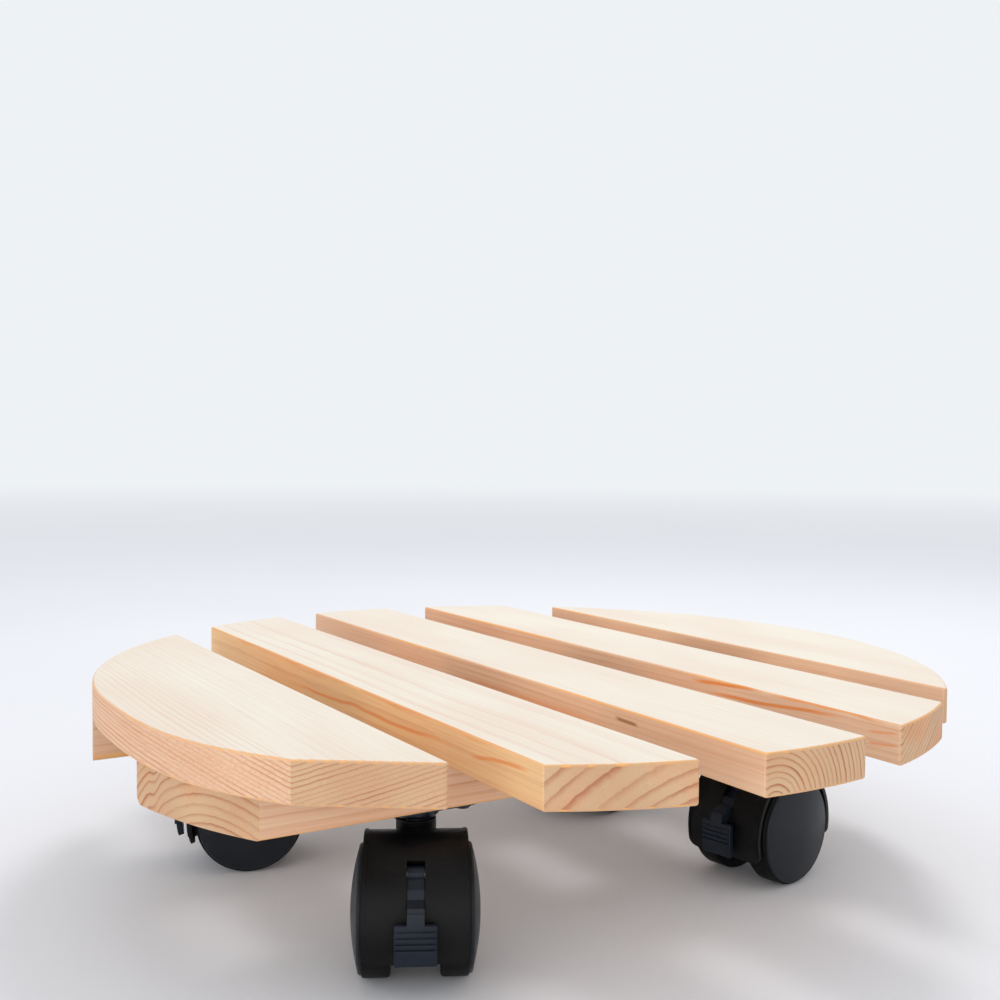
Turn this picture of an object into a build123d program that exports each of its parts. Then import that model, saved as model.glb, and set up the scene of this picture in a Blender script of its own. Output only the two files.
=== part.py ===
from build123d import *

import math
import os

os.makedirs("parts", exist_ok=True)

# Round plant pot caddy: five pine slats screwed to two pine battens, on four twin-wheel casters with brakes.
# Origin: floor level under the centre of the deck. +X runs along the slats, +Z is up. Millimetres.

# ---- deck: driving dimensions ----
deck_radius = 200.0
slat_thickness = 16.0
batten_thickness = 18.0
caster_height = 63.0  # floor to the underside of the battens
inner_slat_width = 50.0
slat_gap = 25.0
battens = {"batten_front": (37.0, 103.0), "batten_rear": (-98.0, -32.0)}  # the x span of each
edge_radius = 1.2
worn_edge_radius = 4.0  # inner lower edge of each batten

batten_top = caster_height + batten_thickness
slat_pitch = inner_slat_width + slat_gap
outer_slat_y = slat_pitch + inner_slat_width / 2 + slat_gap
board_reach = deck_radius + 5  # past the deck's rim

# The slats leave the deck's circle at one corner, where the outer right slat keeps a straight end.
free_corner = (126.0, -169.0)
free_curve = [(91.0, -188.3), (45.0, -198.4)]
free_curve_start_angle = -90.0  # on the circle, degrees from +X
free_curve_end_angle = 33.0  # heading of the curve as it reaches the corner

# ---- screws ----
screw_hole_clearance = 0.05
deck_screw_radius = 2.0
deck_screw_head_radius = 4.0
deck_screw_head_height = 2.4
deck_screw_length = 28.0
# Where two screws cross each batten: offsets from its middle line, and distances from the deck's middle.
centre_crossing = [(-18.0, -12.0), (18.0, 12.0)]
side_crossings = [(-20.0, 60.0), (20.0, 64.0), (-16.0, 140.0), (14.0, 166.0)]
plate_screw_radius = 1.9
plate_screw_head_radius = 3.6
plate_screw_head_height = 1.9
plate_screw_length = 15.0
screw_tip_length = 3.5
screw_head_round = 0.9
recess_length = 4.2
recess_width = 0.8
recess_depth = 1.2

# ---- casters: driving dimensions, in a frame of their own ----
# The stem axis stands at the frame's origin, +X is the trailing side with the lever, Y is the wheel axis.
stems = {
    "front_right": (78.4, -97.3, -27.5),
    "front_left": (79.5, 104.0, -79.0),
    "rear_right": (-52.0, -99.7, -106.0),
    "rear_left": (-52.0, 96.0, -70.0),
}
wheel_radius = 25.0
trail = 20.0
hood_half_width = 19.75
hood_radius = 28.9
hood_rim_radius = 29.2
hood_inner_radius = 27.0
hood_front_angle = 197.0
hood_rear_angle = -22.0
hood_corner_radius = 4.0
hood_rim_width = 1.0
hood_rim_inset = 0.9  # from the hood's side to the rim's middle line
lower_wall_radius = 24.2
web_half_width = 7.4
boss_radius = 8.0
boss_top = 54.25
boss_edge_radius = 0.8
web_angles = (30.0, 177.0)
hub_radius = 7.5
hub_half_width = 8.2

tread_inner_y = 9.5
tread_outer_y = 20.3
wheel_hub_inner_y = 8.6
wheel_hub_radius = 6.5
wheel_web_inner_y = 17.0
rim_inner_radius = 21.0
tread_edge_radius = 1.2
cap_seat_radius = 22.4
cap_seat_y = 19.1
cap_radius = 24.0
cap_top_y = 24.8

axle_radius = 3.0
axle_half_length = 18.6
axle_chamfer = 0.6
axle_groove = (16.2, 17.4)
axle_groove_radius = 2.6
running_clearance = 0.05

plate_size = 38.0
plate_thickness = 2.0
plate_corner_radius = 5.0
plate_hole_offset = 13.5
plate_hole_radius = 2.3
cup_bottom = 55.3
cup_radius = 9.2
cup_mouth_radius = 12.8
cup_wall = 1.8
cup_chamfer = 0.8
king_pin_radius = 4.0
king_pin_head_radius = 6.9
king_pin_head_height = 2.6
king_pin_head_chamfer = 1.0
king_pin_bottom = 23.2
clip_groove_radius = 3.2
clip_radius = 5.8
clip_bottom = 24.6
clip_thickness = 1.0
washer_radius = 6.6
washer_thickness = 0.8

# The brake lever turns on a pin through the hood's two cheeks.
lever_half_width = 3.15
arm_angles = (21.0, 33.0)
arm_inner_radius = 24.8
arm_outer_radius = 28.5
neck_width = 2.6
shoe_link_width = 3.2
lever_boss_radius = 3.3
ridge_angle = 6.5  # degrees that the ridge rises above the pad
slot_half_width = 3.35
slot_angles = (12.0, 55.0)
cheek_slot_half_width = 3.4
cheek_slot_inner_radius = 12.0
cheek_slot_angles = (-30.0, 101.0)
brake_pin_polar = (23.5, 50.0)  # radius and angle about the axle
brake_pin_radius = 1.5
shoe_polar = (19.15, 80.0)
shoe_radius = 1.6
shoe_half_length = 13.5
shoe_window_width = 4.4
shoe_travel_z = (13.6, 19.4)  # above the axle, of the shoe's middle
pad_half_width = 7.7
pad_angles = (-16.0, 10.5)
pad_inner_radius = 31.2
pad_outer_radius = 33.9
pad_edge_radius = 0.45
rib_count = 5
rib_pitch = 3.6  # degrees
rib_width = 1.7  # degrees
rib_height = 0.7

axle_height = wheel_radius


# ---- small helpers ----
def polar(radius, degrees):
    """A point of the side view, measured from the axle."""
    return radius * math.cos(math.radians(degrees)), radius * math.sin(math.radians(degrees))


def wedge(low, high, reach=60.0):
    """A pie slice from the axle between two angles."""
    steps = max(2, math.ceil((high - low) / 40))
    rim = [polar(reach, low + (high - low) * i / steps) for i in range(steps + 1)]
    return Polygon((0, 0), *rim, align=None)


def band(inner, outer, low, high):
    """A ring sector about the axle."""
    return (Circle(outer) - Circle(inner)) & wedge(low, high)


def bar(start, end, width):
    """A straight round-ended bar between two points of the side view."""
    middle = ((start[0] + end[0]) / 2, (start[1] + end[1]) / 2)
    run = (end[0] - start[0], end[1] - start[1])
    turn = math.degrees(math.atan2(run[1], run[0]))
    return Pos(*middle) * Rot(0, 0, turn) * SlotCenterToCenter(math.hypot(*run), width)


def across(sketch, half_width):
    """Extrudes a side-view sketch, drawn about the axle, equally to both sides."""
    placed = Plane.XZ * Pos(trail, axle_height) * sketch
    return extrude(placed, half_width, both=True)


def turned(*points):
    """A turned solid about Z from (radius, height) points."""
    return revolve(Plane.XZ * Polygon(*points, align=None), Axis.Z)


def turned_about_axle(*points):
    """A turned solid about the wheel axis from (radius, sideways) points."""
    solid = revolve(Polygon(*points, align=None), Axis.Y)
    return Pos(trail, 0, axle_height) * solid


def peg(radius, bottom, height):
    """A vertical cylinder standing at the height bottom."""
    return Pos(0, 0, bottom) * Cylinder(radius, height, align=(Align.CENTER, Align.CENTER, Align.MIN))


def on_dome(radius, foot, top):
    """The point at this radius of a ball-shaped dome that rises from its foot to its top on the axis."""
    rise = top - foot[1]
    ball = (foot[0] ** 2 + rise**2) / (2 * rise)
    return radius, top - ball + math.sqrt(ball**2 - radius**2)


# ---- wood ----
def slat_outline():
    """The slats' rim seen from above: a circle with one free corner."""
    chord_x = math.sqrt(deck_radius**2 - outer_slat_y**2)
    straight_end = (chord_x, -outer_slat_y)
    turn = math.radians(free_curve_start_angle)
    join = (deck_radius * math.cos(turn), deck_radius * math.sin(turn))
    along = (-math.sin(turn), math.cos(turn))
    far_side = (-deck_radius * math.cos(math.radians(45)), deck_radius * math.sin(math.radians(45)))
    rim = ThreePointArc(straight_end, far_side, join)
    end = math.radians(free_curve_end_angle)
    tangents = [along, (math.cos(end), math.sin(end))]
    curve = Spline(join, free_curve[1], free_curve[0], free_corner, tangents=tangents)
    return make_face([rim, curve, Line(free_corner, straight_end)])


def board(outline, low_x, high_x, low_y, high_y, bottom, thickness):
    """The part of an outline inside a rectangle, as a board with sharp edges."""
    slab = Pos(0, 0, bottom) * extrude(outline, thickness)
    middle = Pos((low_x + high_x) / 2, (low_y + high_y) / 2, bottom + thickness / 2)
    return slab & middle * Box(high_x - low_x, high_y - low_y, thickness + 2)


def slat_spans():
    """The y span of each slat, from the right side of the deck to the left."""
    half = inner_slat_width / 2
    return {
        "slat_right_outer": (-board_reach, -outer_slat_y),
        "slat_right_inner": (-slat_pitch - half, -slat_pitch + half),
        "slat_centre": (-half, half),
        "slat_left_inner": (slat_pitch - half, slat_pitch + half),
        "slat_left_outer": (outer_slat_y, board_reach),
    }


def crossing_screws():
    """The deck screws: two where each slat crosses each batten, clear of the caster plates."""
    spots = []
    for low_x, high_x in battens.values():
        middle = (low_x + high_x) / 2
        spots += [(middle + dx, y) for dx, y in centre_crossing]
        for dx, y in side_crossings:
            spots += [(middle + dx, -y), (middle + dx, y)]
    return spots


def plate_screw_spots():
    """The four screws of every caster's top plate."""
    spots = []
    for x, y, _ in stems.values():
        for dx in (-plate_hole_offset, plate_hole_offset):
            spots += [(x + dx, y - plate_hole_offset), (x + dx, y + plate_hole_offset)]
    return spots


def at_spots(solid, spots):
    """Copies of a solid, moved to each spot of the deck."""
    return [Pos(x, y, 0) * solid for x, y in spots]


def cross_recess(bottom):
    """The cross-shaped driver recess in a screw head that faces down."""
    arm = Box(recess_length, recess_width, 2 * recess_depth)
    return Pos(0, 0, bottom) * (arm + Rot(0, 0, 90) * arm)


def deck_screw_shape(grow):
    """A countersunk wood screw pointing up, or with grow the hole that it fits."""
    base = caster_height
    shank = deck_screw_radius + grow
    head = deck_screw_head_radius + grow
    neck = base + deck_screw_head_height
    tip = base + deck_screw_length + 2 * grow
    return turned((0, base), (head, base), (shank, neck), (shank, tip - screw_tip_length), (0, tip))


def plate_screw_shape(grow):
    """A pan head wood screw pointing up, or with grow the hole that its shank fits."""
    seat = caster_height - plate_thickness
    shank = plate_screw_radius + grow
    head = plate_screw_head_radius
    low = seat - plate_screw_head_height
    tip = seat + plate_screw_length + plate_thickness + 2 * grow
    outline = [(0, low), (head - screw_head_round, low), (head, low + screw_head_round)]
    outline += [(head, seat), (shank, seat)]
    outline += [(shank, tip - screw_tip_length), (0, tip)]
    return turned(*outline)


def wooden_boards():
    """Slats and battens with their screw holes."""
    deck_holes = at_spots(deck_screw_shape(screw_hole_clearance), crossing_screws())
    plate_holes = at_spots(plate_screw_shape(screw_hole_clearance), plate_screw_spots())
    boards = {}
    for name, (low_y, high_y) in slat_spans().items():
        slat = board(slat_outline(), -board_reach, board_reach, low_y, high_y, batten_top, slat_thickness)
        boards[name] = fillet(slat.edges(), edge_radius) - deck_holes
    for name, (low_x, high_x) in battens.items():
        rim = Circle(deck_radius)
        batten = board(rim, low_x, high_x, -board_reach, board_reach, caster_height, batten_thickness)
        inner_x, outer_x = sorted((low_x, high_x), key=abs)
        for edge_x, radius in ((inner_x, worn_edge_radius), (outer_x, edge_radius)):
            low_edges = batten.edges().filter_by(Axis.Y).group_by(Axis.Z)[0]
            batten = fillet(low_edges.sort_by(lambda e: abs(e.center().X - edge_x))[0], radius)
        boards[name] = batten - deck_holes - plate_holes
    return boards


# ---- caster, in its own frame ----
def top_plate():
    """Pressed steel plate with a cup that holds the king pin's head."""
    top = caster_height
    underside = top - plate_thickness
    flange = extrude(RectangleRounded(plate_size, plate_size, plate_corner_radius), plate_thickness)
    flange = Pos(0, 0, underside) * flange - peg(cup_mouth_radius + 0.2, underside - 1, plate_thickness + 2)
    floor_top = cup_bottom + plate_thickness
    inside_radius = cup_radius - cup_wall
    cup = turned(
        (cup_mouth_radius - cup_wall, top),
        (cup_mouth_radius + 1.2, top),
        (cup_mouth_radius + 1.2, underside),
        (cup_mouth_radius, underside),
        (cup_radius, cup_bottom + 2.6),
        (cup_radius, cup_bottom + cup_chamfer),
        (cup_radius - cup_chamfer, cup_bottom),
        (king_pin_radius, cup_bottom),
        (king_pin_radius, floor_top),
        (inside_radius, floor_top),
        (inside_radius, floor_top + 0.6),
    )
    plate = flange + cup
    for x in (-plate_hole_offset, plate_hole_offset):
        for y in (-plate_hole_offset, plate_hole_offset):
            plate -= Pos(x, y, 0) * peg(plate_hole_radius, underside - 1, plate_thickness + 2)
    return plate


def king_pin():
    """The fixed pivot that the hood turns on, with a groove for its clip."""
    seat = cup_bottom + plate_thickness
    head_top = seat + king_pin_head_height
    groove_top = clip_bottom + clip_thickness + 0.1
    return turned(
        (0, head_top),
        (king_pin_head_radius - king_pin_head_chamfer, head_top),
        (king_pin_head_radius, head_top - king_pin_head_chamfer),
        (king_pin_head_radius, seat),
        (king_pin_radius, seat),
        (king_pin_radius, groove_top),
        (clip_groove_radius, groove_top),
        (clip_groove_radius, clip_bottom - 0.1),
        (king_pin_radius - 0.2, clip_bottom - 0.1),
        (king_pin_radius - 0.6, king_pin_bottom),
        (0, king_pin_bottom),
    )


def king_pin_clip():
    """Open spring clip that keeps the hood on the king pin."""
    inside = peg(clip_groove_radius + running_clearance, clip_bottom, clip_thickness)
    ring = peg(clip_radius, clip_bottom, clip_thickness) - inside
    mouth = Pos(clip_radius / 2, 0, clip_bottom) * Box(clip_radius, 4.4, 4)
    return ring - mouth


def thrust_washer():
    hole = peg(king_pin_radius + 2 * running_clearance, boss_top, washer_thickness)
    return peg(washer_radius, boss_top, washer_thickness) - hole


def hood():
    """One moulding: arched shell, stem boss, axle hub and the two cheeks beside the brake lever."""
    shell = across(band(hood_inner_radius, hood_radius, hood_rear_angle, hood_front_angle), hood_half_width)
    corners = [
        edge
        for edge in shell.edges().filter_by(GeomType.LINE)
        if edge.length < 3 and abs(abs(edge.center().Y) - hood_half_width) < 0.01
    ]
    shell = fillet(corners, hood_corner_radius)
    rim_profile = band(hood_radius - 0.4, hood_rim_radius, hood_rear_angle + 9, hood_front_angle - 9)
    rim = across(rim_profile, hood_rim_width / 2)
    rims = [Pos(0, side * (hood_half_width - hood_rim_inset), 0) * rim for side in (-1, 1)]
    overlap_radius = hood_inner_radius + 0.2
    web = across(band(0.5, overlap_radius, *web_angles) + Circle(hub_radius), web_half_width)
    wall_profile = band(lower_wall_radius, overlap_radius, hood_rear_angle, web_angles[0])
    lower_wall = across(wall_profile, hub_half_width)
    hub = across(Circle(hub_radius), hub_half_width)
    boss_bottom = axle_height + 1.0
    boss = peg(boss_radius, boss_bottom, boss_top - boss_bottom)
    boss = fillet(boss.edges().group_by(Axis.Z)[-1], boss_edge_radius)
    body = shell + rims + web + lower_wall + hub + boss
    body -= peg(king_pin_radius + running_clearance, boss_bottom - 1, boss_top)
    gap_profile = band(cheek_slot_inner_radius, hood_inner_radius, *cheek_slot_angles)
    between_cheeks = across(gap_profile, cheek_slot_half_width)
    slot_low = slot_angles[0]
    solid_below = across(band(20, hood_inner_radius, cheek_slot_angles[0], slot_low), hood_half_width)
    body -= between_cheeks - solid_below
    slot = across(band(hood_inner_radius - 4, hood_rim_radius + 2, *slot_angles), slot_half_width)
    body -= slot
    shoe_x = polar(*shoe_polar)[0] + 0.2
    low, high = shoe_travel_z
    body -= across(bar((shoe_x, low), (shoe_x, high), shoe_window_width), hub_half_width)
    body -= across(Circle(axle_radius), hood_half_width)
    body -= across(Pos(*polar(*brake_pin_polar)) * Circle(brake_pin_radius), hood_half_width)
    return body


def axle():
    low, high = axle_groove
    half = [(0, 0), (axle_radius, 0), (axle_radius, low), (axle_groove_radius, low)]
    half += [(axle_groove_radius, high), (axle_radius, high), (axle_radius, axle_half_length - axle_chamfer)]
    half += [(axle_radius - axle_chamfer, axle_half_length), (0, axle_half_length)]
    solid = turned_about_axle(*half)
    return solid + mirror(solid, about=Plane.XZ)


def wheel():
    """The wheel on the +Y side: hub, web, rim and tread in one moulding, snapped on to the axle's groove."""
    bore = axle_radius + running_clearance
    lip = axle_groove_radius + 0.1
    low, high = axle_groove
    solid = turned_about_axle(
        (bore, wheel_hub_inner_y),
        (wheel_hub_radius, wheel_hub_inner_y),
        (wheel_hub_radius, wheel_web_inner_y),
        (rim_inner_radius, wheel_web_inner_y),
        (rim_inner_radius, tread_inner_y),
        (wheel_radius, tread_inner_y),
        (wheel_radius, tread_outer_y),
        (cap_seat_radius, tread_outer_y),
        (cap_seat_radius, cap_seat_y),
        (bore, cap_seat_y),
        (bore, high - 0.1),
        (lip, high - 0.2),
        (lip, low + 0.2),
        (bore, low + 0.1),
    )
    tread_edges = [e for e in solid.edges().filter_by(GeomType.CIRCLE) if abs(e.radius - wheel_radius) < 0.01]
    return fillet(tread_edges, tread_edge_radius)


def cap():
    """The domed cover that snaps into the outer face of the wheel."""
    spigot = cap_seat_radius - 0.1
    dome_foot = (22.6, 21.7)
    inside_foot = (20.6, 20.6)
    inside_top = cap_top_y - 1.7
    dome = ThreePointArc(dome_foot, on_dome(12.0, dome_foot, cap_top_y), (0, cap_top_y))
    inside = ThreePointArc((0, inside_top), on_dome(11.0, inside_foot, inside_top), inside_foot)
    rim = Polyline(
        inside_foot,
        (inside_foot[0], cap_seat_y + 0.1),
        (spigot, cap_seat_y + 0.1),
        (spigot, tread_outer_y),
        (cap_radius, tread_outer_y),
        (cap_radius, 20.9),
        (23.5, 21.5),
        (22.9, 21.5),
        dome_foot,
    )
    centre = Line((0, cap_top_y), (0, inside_top))
    solid = revolve(make_face([dome, centre, inside, rim]), Axis.Y)
    return Pos(trail, 0, axle_height) * solid


def brake_lever():
    """Foot pad, arm through the slot, pivot boss and the shoe that grips both rims from inside."""
    pin_at = polar(*brake_pin_polar)
    shoe_at = polar(*shoe_polar)
    arm_low, arm_high = arm_angles
    pad_top = pad_angles[1]
    arm = band(arm_inner_radius, arm_outer_radius, arm_low, arm_high)
    neck = bar(pin_at, polar(arm_inner_radius + neck_width / 2, arm_high - 3), neck_width)
    shoulder = [polar(arm_outer_radius, arm_low + 5), polar(pad_outer_radius - 0.9, arm_low - 1)]
    shoulder += [polar(pad_outer_radius, pad_top - 1), polar(pad_inner_radius, pad_top - 1)]
    shoulder += [polar(arm_inner_radius + 0.4, arm_low)]
    link = bar(pin_at, shoe_at, shoe_link_width)
    core = arm + neck + Polygon(*shoulder, align=None) + link + Pos(*pin_at) * Circle(lever_boss_radius)
    lever = across(core, lever_half_width)
    ridge = band(pad_inner_radius, pad_outer_radius + rib_height, pad_top - 1, pad_top + ridge_angle)
    lever += across(ridge, lever_half_width)
    pad = across(band(pad_inner_radius, pad_outer_radius, *pad_angles), pad_half_width)
    lever += fillet(pad.edges(), pad_edge_radius)
    for i in range(rib_count):
        top = pad_top - 0.5 - i * rib_pitch
        rib = band(pad_outer_radius - 0.4, pad_outer_radius + rib_height, top - rib_width, top)
        lever += across(rib, pad_half_width - pad_edge_radius)
    lever += across(Pos(*shoe_at) * Circle(shoe_radius), shoe_half_length)
    lever -= across(Pos(*pin_at) * Circle(brake_pin_radius + running_clearance), hub_half_width)
    return lever


def brake_pin():
    return across(Pos(*polar(*brake_pin_polar)) * Circle(brake_pin_radius), web_half_width)


def caster_parts():
    wheel_shape = wheel()
    cap_shape = cap()
    return {
        "top_plate": top_plate(),
        "king_pin": king_pin(),
        "king_pin_clip": king_pin_clip(),
        "thrust_washer": thrust_washer(),
        "hood": hood(),
        "axle": axle(),
        "wheel_left": wheel_shape,
        "wheel_right": mirror(wheel_shape, about=Plane.XZ),
        "cap_left": cap_shape,
        "cap_right": mirror(cap_shape, about=Plane.XZ),
        "brake_lever": brake_lever(),
        "brake_pin": brake_pin(),
    }


# ---- assembly ----
def write(name, *solids):
    bodies = [body for solid in solids for body in solid.solids()]
    shape = bodies[0] if len(bodies) == 1 else Compound(children=bodies)
    shape.label = name
    export_step(shape, f"parts/{name}.step")


for name, wood in wooden_boards().items():
    write(name, wood)

deck_screw = deck_screw_shape(0) - cross_recess(caster_height)
write("deck_screws", *at_spots(deck_screw, crossing_screws()))

plate_screw_head = caster_height - plate_thickness - plate_screw_head_height
plate_screw = plate_screw_shape(0) - cross_recess(plate_screw_head)
write("plate_screws", *at_spots(plate_screw, plate_screw_spots()))

shapes = caster_parts()
for corner, (x, y, yaw) in stems.items():
    for name, shape in shapes.items():
        square = name == "top_plate"  # the plates stay square to the battens
        write(f"{corner}_{name}", Pos(x, y, 0) * Rot(0, 0, 0 if square else yaw) * shape)
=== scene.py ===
import math

import bpy
from mathutils import Matrix, Vector


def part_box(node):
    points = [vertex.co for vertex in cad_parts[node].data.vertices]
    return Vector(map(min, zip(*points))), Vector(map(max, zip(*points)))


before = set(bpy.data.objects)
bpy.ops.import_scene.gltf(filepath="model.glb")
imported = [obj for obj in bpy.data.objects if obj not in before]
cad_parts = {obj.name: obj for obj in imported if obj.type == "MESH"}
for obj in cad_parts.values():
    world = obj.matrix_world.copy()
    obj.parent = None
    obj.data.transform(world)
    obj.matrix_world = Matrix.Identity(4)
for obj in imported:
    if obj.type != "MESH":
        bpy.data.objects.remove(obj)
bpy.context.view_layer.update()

# The plant pot caddy: procedural pine on the CAD's slats and battens, and moulded plastics and steel on its
# casters. Metres, except in the wood, whose ring sizes and places are in millimetres.

CORNERS = ("front_right", "front_left", "rear_right", "rear_left")


# ---- shader helpers ----
def srgb(red, green, blue):
    """A colour as seen on a screen, 0 to 255, in the linear values that shaders use."""
    def linear(value):
        value /= 255
        return value / 12.92 if value <= 0.04045 else ((value + 0.055) / 1.055) ** 2.4

    return linear(red), linear(green), linear(blue), 1.0


class Graph:
    """A material's node tree, with short calls that each add a node and return its output."""

    def __init__(self, name):
        self.material = bpy.data.materials.new(name)
        self.material.use_nodes = True
        self.tree = self.material.node_tree
        self.shader = self.tree.nodes["Principled BSDF"]

    def put(self, socket, value):
        if isinstance(value, bpy.types.NodeSocket):
            self.tree.links.new(value, socket)
        else:
            socket.default_value = value

    def math(self, operation, *values):
        node = self.tree.nodes.new("ShaderNodeMath")
        node.operation = operation
        for socket, value in zip(node.inputs, values):
            self.put(socket, value)
        return node.outputs[0]

    def step(self, value, low, high, to_low=0.0, to_high=1.0):
        """Smoothly from to_low to to_high while value goes from low to high."""
        node = self.tree.nodes.new("ShaderNodeMapRange")
        node.interpolation_type = "SMOOTHSTEP"
        for socket, entry in zip(node.inputs, (value, low, high, to_low, to_high)):
            self.put(socket, entry)
        return node.outputs[0]

    def mix(self, factor, first, second):
        node = self.tree.nodes.new("ShaderNodeMix")
        node.data_type = "RGBA"
        self.put(node.inputs["Factor"], factor)
        self.put(node.inputs[6], first)
        self.put(node.inputs[7], second)
        return node.outputs[2]

    def vector(self, x, y, z):
        node = self.tree.nodes.new("ShaderNodeCombineXYZ")
        for socket, value in zip(node.inputs, (x, y, z)):
            self.put(socket, value)
        return node.outputs[0]

    def split(self, vector):
        node = self.tree.nodes.new("ShaderNodeSeparateXYZ")
        self.put(node.inputs[0], vector)
        return list(node.outputs)

    def scaled(self, vector, factor):
        node = self.tree.nodes.new("ShaderNodeVectorMath")
        node.operation = "SCALE"
        self.put(node.inputs[0], vector)
        self.put(node.inputs["Scale"], factor)
        return node.outputs[0]

    def noise(self, vector, scale=1.0, detail=2.0, roughness=0.5):
        node = self.tree.nodes.new("ShaderNodeTexNoise")
        self.put(node.inputs["Vector"], vector)
        self.put(node.inputs["Scale"], scale)
        self.put(node.inputs["Detail"], detail)
        self.put(node.inputs["Roughness"], roughness)
        return node.outputs["Fac"]

    def white(self, value):
        node = self.tree.nodes.new("ShaderNodeTexWhiteNoise")
        node.noise_dimensions = "1D"
        self.put(node.inputs["W"], value)
        return node.outputs["Value"]

    def object_coordinates(self):
        return self.tree.nodes.new("ShaderNodeTexCoord").outputs["Object"]

    def normal_parts(self):
        """How much the surface faces along each axis, without its sign."""
        normal = self.tree.nodes.new("ShaderNodeTexCoord").outputs["Normal"]
        return [self.math("ABSOLUTE", part) for part in self.split(normal)]

    def bump(self, height, strength, depth):
        """Raises the surface by up to depth metres where height is 1."""
        node = self.tree.nodes.new("ShaderNodeBump")
        self.put(node.inputs["Height"], height)
        self.put(node.inputs["Strength"], strength)
        self.put(node.inputs["Distance"], depth)
        self.put(self.shader.inputs["Normal"], node.outputs[0])


# ---- pine ----
# TOP_EARLY and TOP_LATE are paler and creamier than the side and end colours partly as the wood's own tone
# and partly as painted light: the washed-out look of brightly lit tops.
TOP_EARLY, TOP_LATE = srgb(236, 229, 214), srgb(222, 180, 158)
SIDE_EARLY, SIDE_LATE = srgb(237, 201, 168), srgb(204, 132, 92)
END_EARLY, END_LATE = srgb(216, 180, 142), srgb(166, 88, 54)
WARM_SIDE = srgb(242, 200, 146)
RESIN = srgb(232, 142, 76)
STREAK = srgb(150, 92, 58)
# Painted highlight: a lighter orange along the eased edges between the tops and the sides.
PAINTED_ARRIS_HIGHLIGHT = srgb(248, 184, 112)
RING_WANDER = 5.0  # how far the rings stray from their true shape along the board


def rings_about(across, up):
    """Growth rings as circles about a pith line at this place in the board's cross-section."""
    def distance(graph, v, w):
        dv = graph.math("SUBTRACT", v, across)
        dw = graph.math("SUBTRACT", w, up)
        return graph.math("SQRT", graph.math("ADD", graph.math("POWER", dv, 2), graph.math("POWER", dw, 2)))

    return distance


def folded_rings(fold, low_slope, high_slope, softness):
    """Flat growth rings that rise from a fold line, at a different slope on either side of it."""
    def distance(graph, v, w):
        dv = graph.math("SUBTRACT", v, fold)
        lift = graph.math("SQRT", graph.math("ADD", graph.math("POWER", dv, 2), softness**2))
        lift = graph.math("MULTIPLY", lift, (low_slope + high_slope) / 2)
        lift = graph.math("MULTIPLY_ADD", dv, (high_slope - low_slope) / 2, lift)
        return graph.math("ADD", graph.math("SUBTRACT", w, lift), 200.0)

    return distance


def with_knot(rings, across, depth, width):
    """Growth rings that dip beside a small knot."""
    def distance(graph, v, w):
        offset = graph.math("DIVIDE", graph.math("SUBTRACT", v, across), width)
        bell = graph.math("EXPONENT", graph.math("MULTIPLY", graph.math("POWER", offset, 2), -1))
        return graph.math("ADD", rings(graph, v, w), graph.math("MULTIPLY", bell, depth))

    return distance


def streak_mask(graph, u, w, start, end, half_width):
    """1 on a tapering streak between two (along, up) places of a side face, and 0 away from it."""
    along = graph.math("DIVIDE", graph.math("SUBTRACT", u, start[0]), end[0] - start[0])
    middle = graph.math("MULTIPLY_ADD", along, end[1] - start[1], start[1])
    off = graph.math("DIVIDE", graph.math("ABSOLUTE", graph.math("SUBTRACT", w, middle)), half_width)
    body = graph.step(off, 0.25, 1.0, 1.0, 0.0)
    tapered = graph.math("MULTIPLY", graph.step(along, 0.0, 0.25), graph.step(along, 0.75, 1.0, 1.0, 0.0))
    return graph.math("MULTIPLY", body, tapered)


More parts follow.
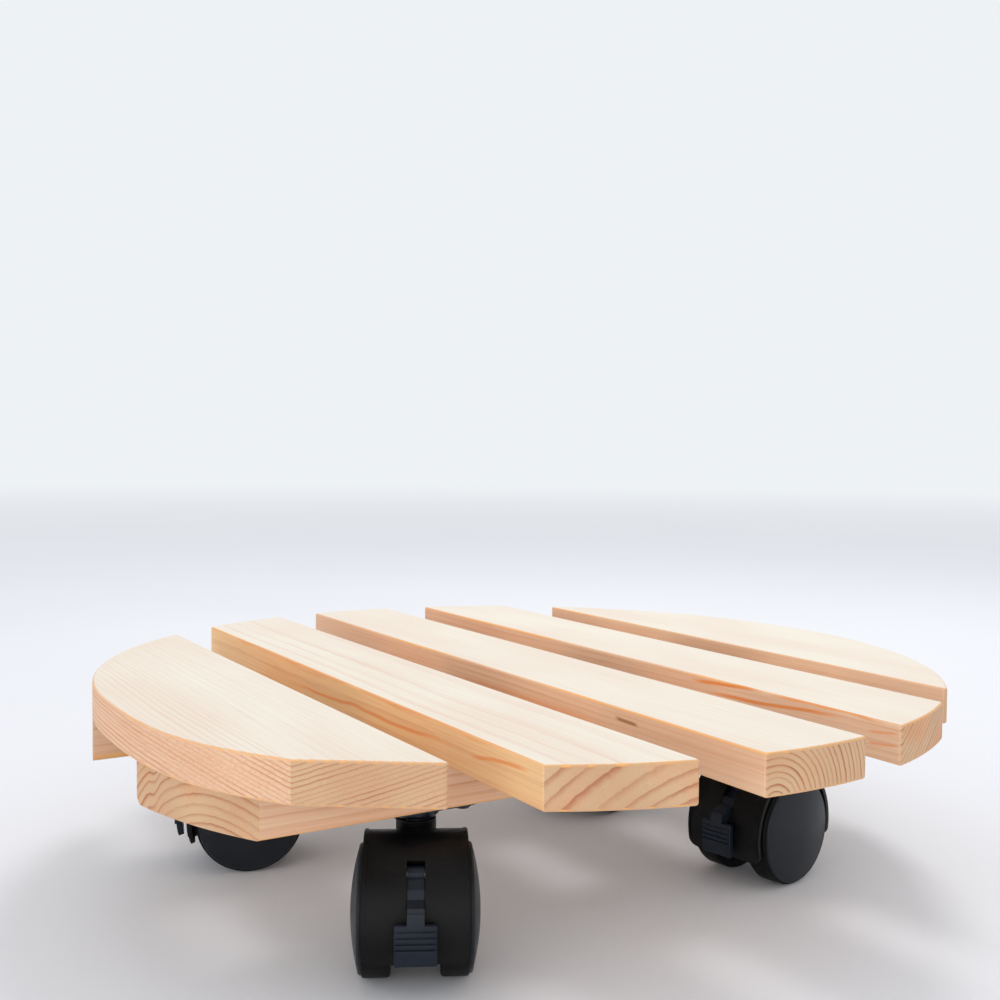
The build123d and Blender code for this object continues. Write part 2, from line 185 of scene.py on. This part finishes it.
def pine(
    name,
    along,
    rings,
    pitch,
    lines,
    lean=(0.0, 0.0),
    side=SIDE_EARLY,
    bold_below=None,
    streaks=(),
    resin=0.2,
    seed=0.0,
):
    """Solid pine: growth rings, fibres and end grain run right through the board.

    along is the axis of the grain, lines how strongly the rings show on the sides, ends and top, lean how far
    the pith drifts across and up for each millimetre along, bold_below the place across where the top's lines
    turn bold, and resin how much of the wood is orange. streaks are marks on the long sides, each with its
    start, end, half width, colour and strength.
    """
    graph = Graph(name)
    x, y, z = graph.split(graph.scaled(graph.object_coordinates(), 1000))
    facing_x, facing_y, facing_z = graph.normal_parts()
    u, v, facing_u = (x, y, facing_x) if along == "x" else (y, x, facing_y)
    w = z

    def slow(shift, u_scale, section_scale):
        place = graph.vector(
            graph.math("MULTIPLY_ADD", u, u_scale, seed + shift),
            graph.math("MULTIPLY", v, section_scale),
            graph.math("MULTIPLY", w, section_scale),
        )
        return graph.math("SUBTRACT", graph.noise(place, detail=1.0), 0.5)

    end_face = graph.step(facing_u, 0.45, 0.8)
    top_face = graph.step(facing_z, 0.8, 0.98)
    # The strip that takes the painted edge highlight: the eased edge between a side and the top.
    leaves_side = graph.step(facing_z, 0.08, 0.35)
    painted_arris_highlight = graph.math("MULTIPLY", leaves_side, graph.step(facing_z, 0.8, 0.97, 1.0, 0.0))

    def by_face(on_side, on_end, on_top):
        return graph.mix(top_face, graph.mix(end_face, on_side, on_end), on_top)

    def amount_by_face(on_side, on_end, on_top):
        upright = graph.step(end_face, 0.0, 1.0, on_side, on_end)
        return graph.step(top_face, 0.0, 1.0, upright, on_top)

    bent_v = graph.math("MULTIPLY_ADD", slow(0.0, 0.006, 0.012), RING_WANDER, v)
    bent_v = graph.math("MULTIPLY_ADD", u, -lean[0], bent_v)
    bent_w = graph.math("MULTIPLY_ADD", slow(7.3, 0.006, 0.012), RING_WANDER, w)
    bent_w = graph.math("MULTIPLY_ADD", u, -lean[1], bent_w)
    distance = rings(graph, bent_v, bent_w)
    uneven = graph.noise(graph.vector(graph.math("DIVIDE", distance, pitch * 2.2), seed, 0.0), detail=0.0)
    phase = graph.math("MULTIPLY_ADD", distance, 1 / pitch, graph.math("MULTIPLY", uneven, 0.9))
    phase = graph.math("MULTIPLY_ADD", slow(3.1, 0.05, 0.35), 0.22, phase)
    part = graph.math("FRACT", phase)
    rise = graph.math("POWER", graph.step(part, 0.3, 0.93), 2.4)
    late = graph.math("MULTIPLY", rise, graph.step(part, 0.93, 1.0, 1.0, 0.0))
    ring_strength = graph.step(graph.white(graph.math("FLOOR", phase)), 0.0, 1.0, 0.45, 1.0)
    patchy = graph.step(slow(17.0, 0.012, 0.06), -0.2, 0.2, 0.55, 1.0)
    late = graph.math("MULTIPLY", graph.math("MULTIPLY", late, ring_strength), patchy)
    side_lines, end_lines, top_lines = lines
    if bold_below is not None:
        top_lines = graph.step(v, bold_below - 2, bold_below + 1, 3 * top_lines, top_lines)
    shown = graph.math("MULTIPLY", late, amount_by_face(side_lines, end_lines, top_lines))

    fibre_place = graph.vector(
        graph.math("MULTIPLY_ADD", u, 0.014, seed),
        graph.math("MULTIPLY", v, 1.3),
        graph.math("MULTIPLY", w, 1.3),
    )
    fibre = graph.noise(fibre_place, detail=3.0, roughness=0.6)
    pore_place = graph.vector(
        graph.math("MULTIPLY", u, 0.2), graph.math("MULTIPLY", v, 2.6), graph.math("MULTIPLY", w, 2.6)
    )
    pores = graph.noise(pore_place, detail=2.0, roughness=0.7)
    cloud = graph.step(slow(23.0, 0.01, 0.03), -0.25, 0.25)

    # The tops take the paler top colours, which hold painted light from the brightly lit tops besides the
    # wood's own tone.
    colour = by_face(side, END_EARLY, TOP_EARLY)
    dark = by_face(SIDE_LATE, END_LATE, TOP_LATE)
    colour = graph.mix(graph.math("MULTIPLY", cloud, 0.22), colour, dark)
    colour = graph.mix(shown, colour, dark)
    heart = graph.step(slow(11.0, 0.0035, 0.05), 0.02, 0.2)
    heart = graph.math("MULTIPLY", heart, graph.step(top_face, 0.0, 1.0, resin, resin * 0.1))
    colour = graph.mix(heart, colour, graph.mix(late, RESIN, SIDE_LATE))
    on_side = graph.math("SUBTRACT", 1.0, graph.math("MAXIMUM", end_face, top_face))
    wavy_w = graph.math("MULTIPLY_ADD", slow(31.0, 0.03, 0.02), 4.0, w)
    for start, end, half_width, tint, strength in streaks:
        mask = graph.math("MULTIPLY", streak_mask(graph, u, wavy_w, start, end, half_width), on_side)
        colour = graph.mix(graph.math("MULTIPLY", mask, strength), colour, tint)
    grainy = graph.math("MULTIPLY", graph.step(fibre, 0.38, 0.72), amount_by_face(0.3, 0.0, 0.22))
    colour = graph.mix(grainy, colour, dark)
    speckle = graph.math("MULTIPLY", graph.step(pores, 0.5, 0.75), graph.step(end_face, 0.0, 1.0, 0.0, 0.3))
    colour = graph.mix(speckle, colour, END_LATE)
    # Painted highlight on the eased edges, stronger where latewood meets them.
    colour = graph.mix(graph.math("MULTIPLY", painted_arris_highlight, graph.step(late, 0.0, 0.5, 0.15, 0.85)), colour, PAINTED_ARRIS_HIGHLIGHT)

    graph.put(graph.shader.inputs["Base Color"], colour)
    graph.put(graph.shader.inputs["Roughness"], graph.step(fibre, 0.2, 0.8, 0.52, 0.68))
    graph.shader.inputs["Specular IOR Level"].default_value = 0.25
    height = graph.math("MULTIPLY_ADD", late, 0.4, graph.math("MULTIPLY", fibre, 0.5))
    height = graph.math("MULTIPLY_ADD", graph.math("MULTIPLY", pores, end_face), 0.6, height)
    graph.bump(height, 0.5, 0.0002)
    return graph.material


# ---- moulded plastic and steel ----
SHEEN_SPREAD = 0.08  # how much a plastic's roughness varies either way


def plastic(name, base, bright, roughness, texture_size, depth, specular):
    """Moulded black plastic with a fine spark-eroded texture, faint flow marks and painted sheen."""
    graph = Graph(name)
    place = graph.object_coordinates()
    cloud = graph.noise(place, scale=55, detail=3.0, roughness=0.6)
    fine = graph.noise(place, scale=1 / texture_size, detail=2.0, roughness=0.7)
    # The lighter patches are partly faint flow marks and partly painted sheen.
    colour = graph.mix(graph.step(cloud, 0.3, 0.75), base, bright)
    # Painted sheen: the fine texture's peaks are lightened towards the brighter tone.
    colour = graph.mix(graph.step(fine, 0.55, 0.8, 0.0, 0.5), colour, bright)
    graph.put(graph.shader.inputs["Base Color"], colour)
    rough = graph.step(cloud, 0.25, 0.75, roughness - SHEEN_SPREAD, roughness + SHEEN_SPREAD)
    graph.put(graph.shader.inputs["Roughness"], rough)
    graph.shader.inputs["Specular IOR Level"].default_value = specular
    graph.bump(fine, 0.6, depth)
    return graph.material


def plated_steel(name, dull, bright):
    """Plated sheet or drawn steel with faint drawing lines and a patchy shine."""
    graph = Graph(name)
    place = graph.object_coordinates()
    patches = graph.noise(place, scale=240, detail=2.0)
    x, y, z = graph.split(place)
    drawn = graph.vector(graph.math("MULTIPLY", x, 300), graph.math("MULTIPLY", y, 300), z)
    lines = graph.noise(drawn, 9, 2.0)
    colour = graph.mix(patches, dull, bright)
    graph.put(graph.shader.inputs["Base Color"], colour)
    graph.put(graph.shader.inputs["Roughness"], graph.step(patches, 0.3, 0.7, 0.24, 0.42))
    graph.shader.inputs["Metallic"].default_value = 1.0
    graph.bump(lines, 0.3, 0.00004)
    return graph.material


def paint(node, material):
    """Gives a CAD node this material in every slot."""
    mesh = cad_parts[node].data
    mesh.materials.clear()
    mesh.materials.append(material)


def paint_wood():
    slats = {
        "slat_right_outer": dict(
            rings=folded_rings(-169, 0.6, 0.42, 0.6),
            pitch=1.75,
            lines=(0.95, 0.7, 0.2),
            lean=(0.0, 0.004),
            bold_below=-169,
            resin=0.1,
        ),
        "slat_right_inner": dict(
            rings=rings_about(-37, 28),
            pitch=5.8,
            lines=(0.3, 0.8, 0.42),
            lean=(0.004, 0.006),
            side=WARM_SIDE,
            resin=0.15,
            streaks=[
                ((-59, 86.2), (123, 90.1), 1.1, RESIN, 0.8),
                ((123, 90.1), (167, 92.7), 1.1, RESIN, 0.8),
                ((-200, 96.7), (195, 96.6), 1.2, RESIN, 0.5),
            ],
        ),
        "slat_centre": dict(
            rings=rings_about(-22, 78),
            pitch=2.2,
            lines=(0.25, 0.95, 0.08),
            lean=(0.006, 0.004),
            resin=0.1,
            streaks=[((112, 92.7), (129, 91.4), 1.1, STREAK, 0.8), ((-30, 89), (120, 87), 2.4, RESIN, 0.35)],
        ),
        "slat_left_inner": dict(
            rings=rings_about(150, -41),
            pitch=2.3,
            lines=(0.4, 0.9, 0.08),
            lean=(0.0, 0.01),
            resin=0.3,
            streaks=[
                ((70, 93.5), (121, 97.5), 1.3, RESIN, 1.0),
                ((121, 96.6), (188, 96.1), 1.0, RESIN, 0.8),
                ((79, 89.9), (169, 94.2), 1.2, RESIN, 0.95),
                ((176, 91.5), (193, 93.5), 0.8, RESIN, 0.6),
                ((176, 87.1), (193, 88.8), 0.8, RESIN, 0.6),
            ],
        ),
        "slat_left_outer": dict(
            rings=rings_about(-75, 89), pitch=5.0, lines=(0.2, 0.5, 0.08), lean=(0.01, 0.0), resin=0.08
        ),
    }
    battens = {
        "batten_front": dict(
            rings=with_knot(rings_about(84, 28), 51, 2.0, 3.0),
            pitch=3.6,
            lines=(0.7, 0.85, 0.3),
            lean=(0.0, 0.006),
        ),
        "batten_rear": dict(rings=rings_about(-80, 120), pitch=3.2, lines=(0.6, 0.7, 0.3), lean=(0.0, 0.006)),
    }
    for boards, along in ((slats, "x"), (battens, "y")):
        for i, (node, grain) in enumerate(boards.items()):
            paint(node, pine(f"pine_{node}", along, seed=5.0 * i + 1.7, **grain))


def paint_casters():
    hood = plastic("hood_plastic", srgb(6, 6, 7), srgb(14, 14, 15), 0.4, 0.0006, 0.0003, specular=0.18)
    wheel = plastic("wheel_plastic", srgb(9, 9, 10), srgb(18, 18, 19), 0.55, 0.0009, 0.00008, specular=0.11)
    cap = plastic("cap_plastic", srgb(30, 33, 38), srgb(38, 41, 46), 0.42, 0.0004, 0.00003, specular=0.18)
    lever = plastic("lever_plastic", srgb(16, 23, 33), srgb(28, 36, 48), 0.36, 0.0006, 0.00003, specular=0.24)
    steel = plated_steel("zinc_steel", srgb(150, 153, 158), srgb(196, 198, 200))
    black_steel = plated_steel("black_steel", srgb(46, 48, 52), srgb(78, 82, 88))
    by_part = {
        "hood": hood,
        "wheel_left": wheel,
        "wheel_right": wheel,
        "cap_left": cap,
        "cap_right": cap,
        "brake_lever": lever,
        "top_plate": black_steel,
        "king_pin": steel,
        "king_pin_clip": steel,
        "thrust_washer": black_steel,
        "axle": steel,
        "brake_pin": steel,
    }
    for corner in CORNERS:
        for part, material in by_part.items():
            paint(f"{corner}_{part}", material)
    paint("deck_screws", steel)
    paint("plate_screws", black_steel)


# ---- stage ----
def floor():
    """A wide pale floor that fades into the pale surroundings; its whitening away from the middle is painted
    light.
    """
    radius, sides = 40.0, 96
    fade_start, fade_end = 0.3, 7.0
    turns = [math.tau * i / sides for i in range(sides)]
    mesh = bpy.data.meshes.new("floor")
    rim = [(radius * math.cos(turn), radius * math.sin(turn), 0) for turn in turns]
    mesh.from_pydata(rim, [], [range(sides)])
    graph = Graph("floor_paper")
    place = graph.object_coordinates()
    x, y, _ = graph.split(place)
    from_middle = graph.math("SQRT", graph.math("ADD", graph.math("POWER", x, 2), graph.math("POWER", y, 2)))
    cloud = graph.noise(place, scale=3, detail=3.0)
    near = graph.mix(cloud, srgb(230, 229, 233), srgb(235, 235, 238))
    # Painted light: the floor turns whiter away from the middle, making up for the lamps' light that falls
    # mostly on the middle.
    far_painted_light = graph.step(from_middle, fade_start, fade_end)
    graph.put(graph.shader.inputs["Base Color"], graph.mix(far_painted_light, near, (1, 1, 1, 1)))
    graph.shader.inputs["Roughness"].default_value = 0.9
    graph.shader.inputs["Specular IOR Level"].default_value = 0.0
    mesh.materials.append(graph.material)
    plane = bpy.data.objects.new("floor", mesh)
    bpy.context.scene.collection.objects.link(plane)


def area_light(name, place, aim, size, watts, colour):
    data = bpy.data.lights.new(name, "AREA")
    data.shape = "DISK"
    data.size = size
    data.energy = watts
    data.color = colour
    lamp = bpy.data.objects.new(name, data)
    lamp.location = place
    lamp.rotation_euler = (Vector(aim) - Vector(place)).to_track_quat("-Z", "Y").to_euler()
    bpy.context.scene.collection.objects.link(lamp)


def lights():
    world = bpy.data.worlds.new("studio")
    world.use_nodes = True
    background = world.node_tree.nodes["Background"]
    background.inputs["Color"].default_value = srgb(238, 242, 245)
    background.inputs["Strength"].default_value = 1.0
    bpy.context.scene.world = world
    bpy.context.scene.view_settings.view_transform = "Standard"
    middle = (0, 0, 0.05)
    area_light("overhead", (-0.4, 0.6, 1.4), middle, 0.5, 6, (1.0, 0.99, 0.98))
    area_light("side_fill", (0.4, -1.5, 0.3), middle, 1.0, 3.2, (1.0, 0.98, 0.97))
    area_light("front_fill", (1.25, -0.75, 0.3), (0, 0, 0.02), 1.2, 3.2, (1.0, 0.99, 0.98))


def camera():
    """Stands where the photographer stood: low, off the front right corner of the slats."""
    azimuth, elevation, distance = math.radians(57.48), math.radians(9.95), 0.5903
    tilt, turn, roll = math.radians(7.649), math.radians(0.934), math.radians(0.552)
    centre = Vector((0, 0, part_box("slat_centre")[1].z))
    flat = math.cos(elevation)
    back = Vector((math.sin(azimuth) * flat, -math.cos(azimuth) * flat, math.sin(elevation)))
    data = bpy.data.cameras.new("camera")
    data.sensor_width = 36.0
    data.lens = 42.32
    data.clip_start = 0.01
    eye = bpy.data.objects.new("camera", data)
    aim = (-back).to_track_quat("-Z", "Y").to_matrix()
    aim = aim @ Matrix.Rotation(tilt, 3, "X") @ Matrix.Rotation(turn, 3, "Y") @ Matrix.Rotation(roll, 3, "Z")
    eye.matrix_world = Matrix.Translation(centre + back * distance) @ aim.to_4x4()
    bpy.context.scene.collection.objects.link(eye)
    bpy.context.scene.camera = eye


paint_wood()
paint_casters()
floor()
lights()
camera()
